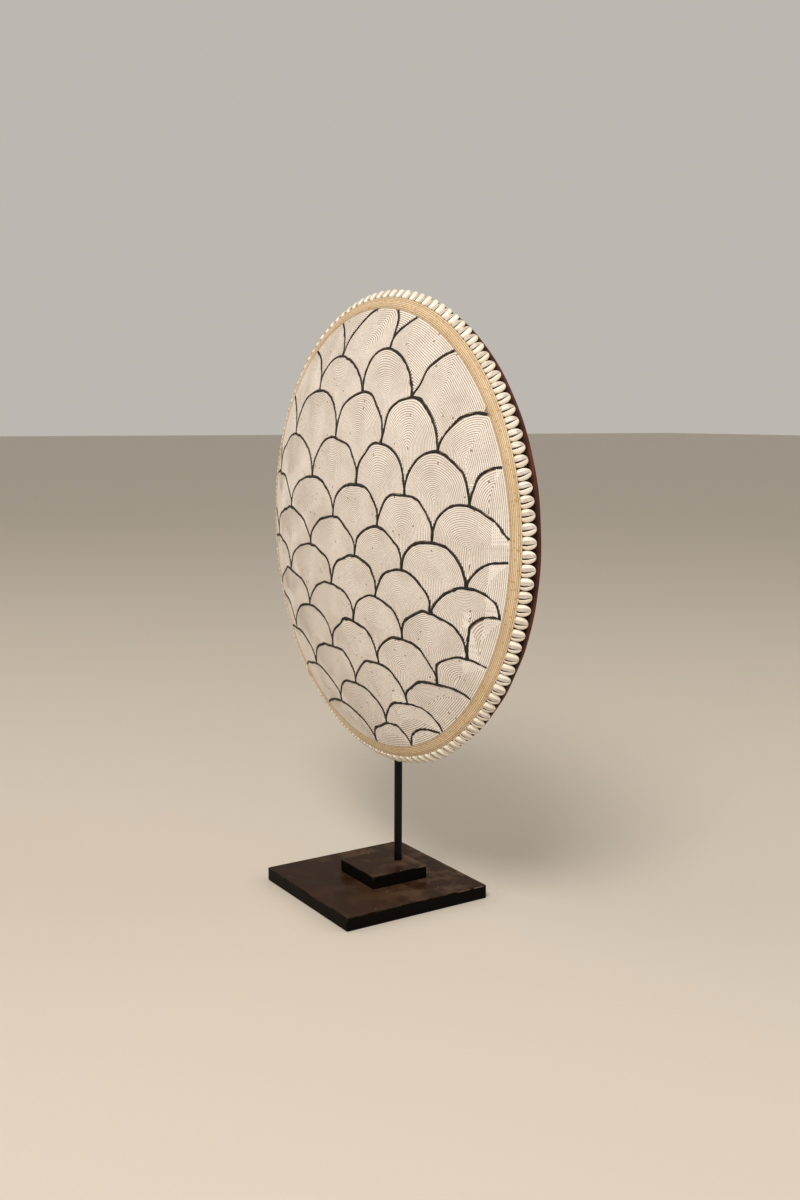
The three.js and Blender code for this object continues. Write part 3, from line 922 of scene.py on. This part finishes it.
class SHIELD_OT_cowries(bpy.types.Operator):
    """Sew the cowries end-on round the rim, on their dark strip"""
    bl_idname = "shield.cowries"
    bl_label = "Cowries"

    def execute(self, context):
        sizes, colours = context.scene.shield_sizes, context.scene.shield_colours
        length, width = sizes.shell_length / MM, sizes.shell_width / MM
        middle = SHELL_TIP + SHELL_RUN * length / 2
        seat = middle - SHELL_RUN * SHELL_TUCK
        dice = np.random.default_rng(SEED + 6)
        half = np.array(LOBE_POINTS)
        columns = np.concatenate([-half[::-1], [0], half])
        wide = len(columns)
        along = -np.cos(np.linspace(0, math.pi, SHELL_STEPS))[:, None]
        to_tip = np.clip((along - SHELL_BROADEST) / (1 - SHELL_BROADEST), 0, 1)
        to_band = np.clip((SHELL_BROADEST - along) / (1 + SHELL_BROADEST), 0, 1)
        closing = np.clip((1 + along) / BAND_END_ROUNDING, 0, 1) ** BAND_END_CURVE
        outline = np.sqrt(1 - to_tip ** TIP_END_BLUNT) * (1 - BAND_END_NARROWING * to_band ** 2) * closing
        slit = SLIT_START + SLIT_TURN * ((along + 1) / 2) ** SLIT_BEND
        slit_width = SLIT_HALF_WIDTH * (1 - SLIT_TAPER * (along + 1))
        open_share = np.clip((SLIT_END - along) * SLIT_CLOSING, 0, 1)
        grid = np.arange(SHELL_STEPS - 1)[:, None] * wide + np.arange(wide - 1)
        quads = np.stack([grid, grid + 1, grid + wide + 1, grid + wide], -1).reshape(-1, 4)
        points, faces, marks = [], [], []
        for number in range(sizes.shells):
            long, broad, high = (dice.uniform(*r) for r in (SHELL_LENGTHS, SHELL_WIDTHS, SHELL_HEIGHTS))
            turn = dice.uniform(-SHELL_SKEW, SHELL_SKEW)
            slit_line = slit + dice.uniform(-SLIT_SHIFT, SLIT_SHIFT)
            across = slit_line + columns * (1 + np.sign(-columns) * slit_line)
            off = across - slit_line
            # flat-bellied body, lips that roll into the slit, a shallow dip along the upper lobe
            body = np.sqrt(1 - np.abs(across) ** SHELL_FULLNESS) * outline ** SHELL_END_FALL
            groove = open_share * LIP_ROLL * np.exp(-(off / (LIP_SPREAD * slit_width)) ** 2)
            dip = DIP_DEPTH * np.exp(-((off - DIP_PLACE) / DIP_SPREAD) ** 2)
            lift = (SHELL_DEPTH - SHELL_SUNK) * high * body * (1 - groove - dip) - SHELL_BED - SHELL_PRESSED
            flat_across = across * outline * width / 2 * broad
            flat_along = (along * length / 2 * long - length / 2 * (1 - long)) * np.ones_like(across)
            skew = (flat_across + turn * flat_along)[..., None]
            angle = 2 * math.pi * (number + 0.5) / sizes.shells
            section = seat + flat_along[..., None] * SHELL_RUN - lift[..., None] * inward(SHELL_RUN)
            beside = np.array([-math.sin(angle), 0, math.cos(angle)])
            points.append((turned(section, np.full(across.shape, angle)) + skew * beside).reshape(-1, 3))
            faces.append(quads + number * SHELL_STEPS * wide)
            marks.append(np.stack(np.broadcast_arrays(along, off, number + 0.5), -1).reshape(-1, 3))
        shield_piece("cowries", np.concatenate(points), np.concatenate(faces),
                     cowrie_material(colours, length), "cowrie_shell", "cowrie_ring", np.concatenate(marks))
        top = middle + inward(SHELL_RUN) * SHELL_BED
        inner = top - SHELL_RUN * (length / 2 - SHELL_TO_BAND)
        outer = top + SHELL_RUN * (length / 2 - SHELL_OVERHANG)
        down = inward(SHELL_RUN) * STRIP_THICKNESS
        edge = np.linspace(inner, outer, STRIP_POINTS)
        turned_piece("cowrie_strip", np.concatenate([edge, edge[::-1] + down]),
                     cloth_material("dark_woven_cotton", colours.cloth, 0.6), "dark_cloth", "cowrie_ring")
        return {"FINISHED"}


class SHIELD_OT_body(bpy.types.Operator):
    """Carve the wooden body: a dome with a thick rounded rim, hollow behind"""
    bl_idname = "shield.body"
    bl_label = "Carved body"

    def execute(self, context):
        sizes, colours = context.scene.shield_sizes, context.scene.shield_colours
        bed, lip = BAND_THICKNESS + GAP, BAND_EDGE_SET_BACK + RIM_DEPTH
        shoulder = SHELL_TIP + inward(SHELL_RUN) * (SHELL_BED + STRIP_THICKNESS + GAP)
        shoulder_end = shoulder + SHELL_RUN * (sizes.shell_length / MM - SHELL_OVERHANG)
        bed_edge = FACE_EDGE + inward(BAND_RUN) * bed
        reach = (shoulder - bed_edge) @ inward(SHELL_RUN) / (BAND_RUN @ inward(SHELL_RUN))
        corner = bed_edge + BAND_RUN * reach
        radii = np.linspace(AXIS_RADIUS, bed_edge[0], FRONT_RINGS)[:-1]
        front = np.stack([radii, dome(radii)[0] + bed], -1)
        shoulder_line = np.linspace(corner, shoulder_end, SHOULDER_RINGS)[:-1]
        turn = np.linspace(0, math.pi / 2, ROUND_RINGS)
        round_back = np.stack([LIP_OUTER_RADIUS + (shoulder_end[0] - LIP_OUTER_RADIUS) * np.cos(turn),
                               shoulder_end[1] + (lip - shoulder_end[1]) * np.sin(turn)], -1)
        inner, (round_in, round_down) = LIP_OUTER_RADIUS - LIP_WIDTH, LIP_CORNER
        lip_line = [(r, lip) for r in np.linspace(LIP_OUTER_RADIUS, inner + round_in, LIP_RINGS)[1:]]
        hollow_radius = inner - RIM_INSIDE_SPLAY
        radii = np.linspace(hollow_radius, AXIS_RADIUS, HOLLOW_RINGS)
        hollow = np.stack([radii, dome(radii)[0] + bed + DOME_WALL], -1)
        wall = np.linspace((inner, lip - round_down), hollow[0], 5)[:-1]
        section = np.concatenate([front, [bed_edge], shoulder_line, round_back, lip_line, wall, hollow])
        points, faces = turn_section(section, TURN_STEPS["carved_body"])
        # gouge marks: shallow scallops in the hollow, and a slow unevenness round the rim
        floor = np.interp(np.hypot(points[:, 0], points[:, 2]), radii[::-1], hollow[::-1, 1])
        behind = points[:, 1] > floor - CARVED_FROM
        rim = points[:, 1] > shoulder_end[1] + CARVED_FROM
        axis = points * (1, 0, 1)
        out = axis / np.maximum(np.linalg.norm(axis, axis=1), TINY)[:, None]
        scallop = np.array([noise.voronoi(Vector(p) / GOUGE_WIDTH)[0][0] for p in points])
        uneven = waver(points, RIM_UNEVEN_LENGTH, SEED + 8) * RIM_UNEVEN - RIM_PARED
        points = points + (rim * uneven)[:, None] * out
        points[:, 1] += behind * ~rim * scallop * GOUGE_DEPTH
        body = shield_piece("carved_body", points, faces,
                            carved_wood_material(colours.dark_wood, colours.brown_wood), "brown_wood",
                            "shield_body", flip=True)
        cut_round(body, BODY_BORE_FROM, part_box("stand_rod")[1].z / MM + GAP)
        return {"FINISHED"}


class SHIELD_OT_stand(bpy.types.Operator):
    """Make the lacquered foot and the blackened rod"""
    bl_idname = "shield.stand"
    bl_label = "Stand"

    def execute(self, context):
        colours = context.scene.shield_colours
        lacquer = lacquered_wood_material(colours.lacquer, colours.lacquer_painted_reflection)
        slab("foot_plate_lacquered", PLATE, lacquer, "foot_plate")
        cut_round(slab("foot_block_lacquered", BLOCK, lacquer, "foot_block"), *BLOCK_BORE)
        bottom, top = (corner.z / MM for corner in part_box("stand_rod"))
        long = top - bottom
        straight = np.linspace(ROD_RINGS_FROM_END, long - ROD_RINGS_FROM_END, ROD_RINGS)
        levels = [(ROD_CHAMFER, 0), (0, ROD_CHAMFER), *((0, height) for height in straight),
                  (0, long - ROD_CHAMFER), (ROD_CHAMFER, long)]
        angle = np.linspace(0, 2 * math.pi, ROD_STEPS, endpoint=False)
        rings = [np.stack([np.cos(angle) * (ROD_DIAMETER / 2 - inset),
                           np.sin(angle) * (ROD_DIAMETER / 2 - inset) + ROD_SET_BACK,
                           np.full(ROD_STEPS, bottom + height)], -1) for inset, height in levels]
        stacked_piece("rod_blackened", np.array(rings), blackened_steel_material(colours.steel),
                      "stand_rod")
        return {"FINISHED"}


class SHIELD_OT_stage(bpy.types.Operator):
    """Lay the floor, hang the lights and set the camera at the photograph's view"""
    bl_idname = "shield.stage"
    bl_label = "Stage"

    def execute(self, context):
        scene = context.scene
        mesh = bpy.data.meshes.new("floor")
        corners = [(x * FLOOR_REACH, y * FLOOR_REACH, 0) for x, y in ((-1, -1), (1, -1), (1, 1), (-1, 1))]
        mesh.from_pydata(corners, [], [(0, 1, 2, 3)])
        mesh.materials.append(floor_material(scene.shield_colours.floor))
        floor = bpy.data.objects.new("floor", mesh)
        scene.collection.objects.link(floor)
        world = bpy.data.worlds.new("soft_studio")
        world.use_nodes = True
        wire(world.node_tree, world.node_tree.nodes["Background"],
             {"Color": linear(ROOM_LIGHT), "Strength": ROOM_STRENGTH})
        scene.world = world
        for name, (place, size, power, colour) in LIGHTS.items():
            light = bpy.data.lights.new(name, "AREA")
            light.size, light.energy, light.color = size, power, linear(colour)[:3]
            lamp = bpy.data.objects.new(name, light)
            lamp.location = place
            aim = Vector(LIGHTS_AIM) - Vector(place)
            lamp.rotation_euler = aim.to_track_quat("-Z", "Y").to_euler()
            scene.collection.objects.link(lamp)
        turn, down, roll = (math.radians(v) for v in (CAMERA_TURN, CAMERA_DOWN, CAMERA_ROLL))
        look = Vector((-math.sin(turn) * math.cos(down), math.cos(turn) * math.cos(down), -math.sin(down)))
        right = Vector((math.cos(turn), math.sin(turn), 0))
        up = right.cross(look)
        right, up = (right * math.cos(roll) + up * math.sin(roll),
                     up * math.cos(roll) - right * math.sin(roll))
        camera = bpy.data.objects.new("camera", bpy.data.cameras.new("camera"))
        camera.data.lens, camera.data.sensor_width = CAMERA_LENS, CAMERA_SENSOR
        camera.data.clip_end = CAMERA_SEES
        axes = Matrix((right, up, -look)).transposed().to_4x4()
        camera.matrix_world = Matrix.Translation(CAMERA_PLACE) @ axes
        scene.collection.objects.link(camera)
        scene.camera = camera
        scene.view_settings.view_transform = "Standard"
        return {"FINISHED"}


class SHIELD_PT_panel(bpy.types.Panel):
    bl_idname = "SHIELD_PT_panel"
    bl_label = "Shield"
    bl_space_type = "VIEW_3D"
    bl_region_type = "UI"
    bl_category = "Shield"

    def draw(self, context):
        for group in (context.scene.shield_sizes, context.scene.shield_colours):
            for name in group.bl_rna.properties.keys():
                if name not in {"rna_type", "name"}:
                    self.layout.prop(group, name)
        for operator in OPERATORS:
            self.layout.operator(operator.bl_idname)


OPERATORS = (SHIELD_OT_face_beads, SHIELD_OT_scale_lines, SHIELD_OT_bead_cloth, SHIELD_OT_band,
             SHIELD_OT_cowries, SHIELD_OT_body, SHIELD_OT_stand, SHIELD_OT_stage)
CLASSES = (ShieldSizes, ShieldColours, *OPERATORS, SHIELD_PT_panel)


def register():
    for kind in CLASSES:
        bpy.utils.register_class(kind)
    bpy.types.Scene.shield_sizes = bpy.props.PointerProperty(type=ShieldSizes)
    bpy.types.Scene.shield_colours = bpy.props.PointerProperty(type=ShieldColours)


def unregister():
    del bpy.types.Scene.shield_colours
    del bpy.types.Scene.shield_sizes
    for kind in reversed(CLASSES):
        bpy.utils.unregister_class(kind)


def main():
    register()
    for operator in OPERATORS:
        group, name = operator.bl_idname.split(".")
        getattr(getattr(bpy.ops, group), name)()


if __name__ == "__main__":
    main()
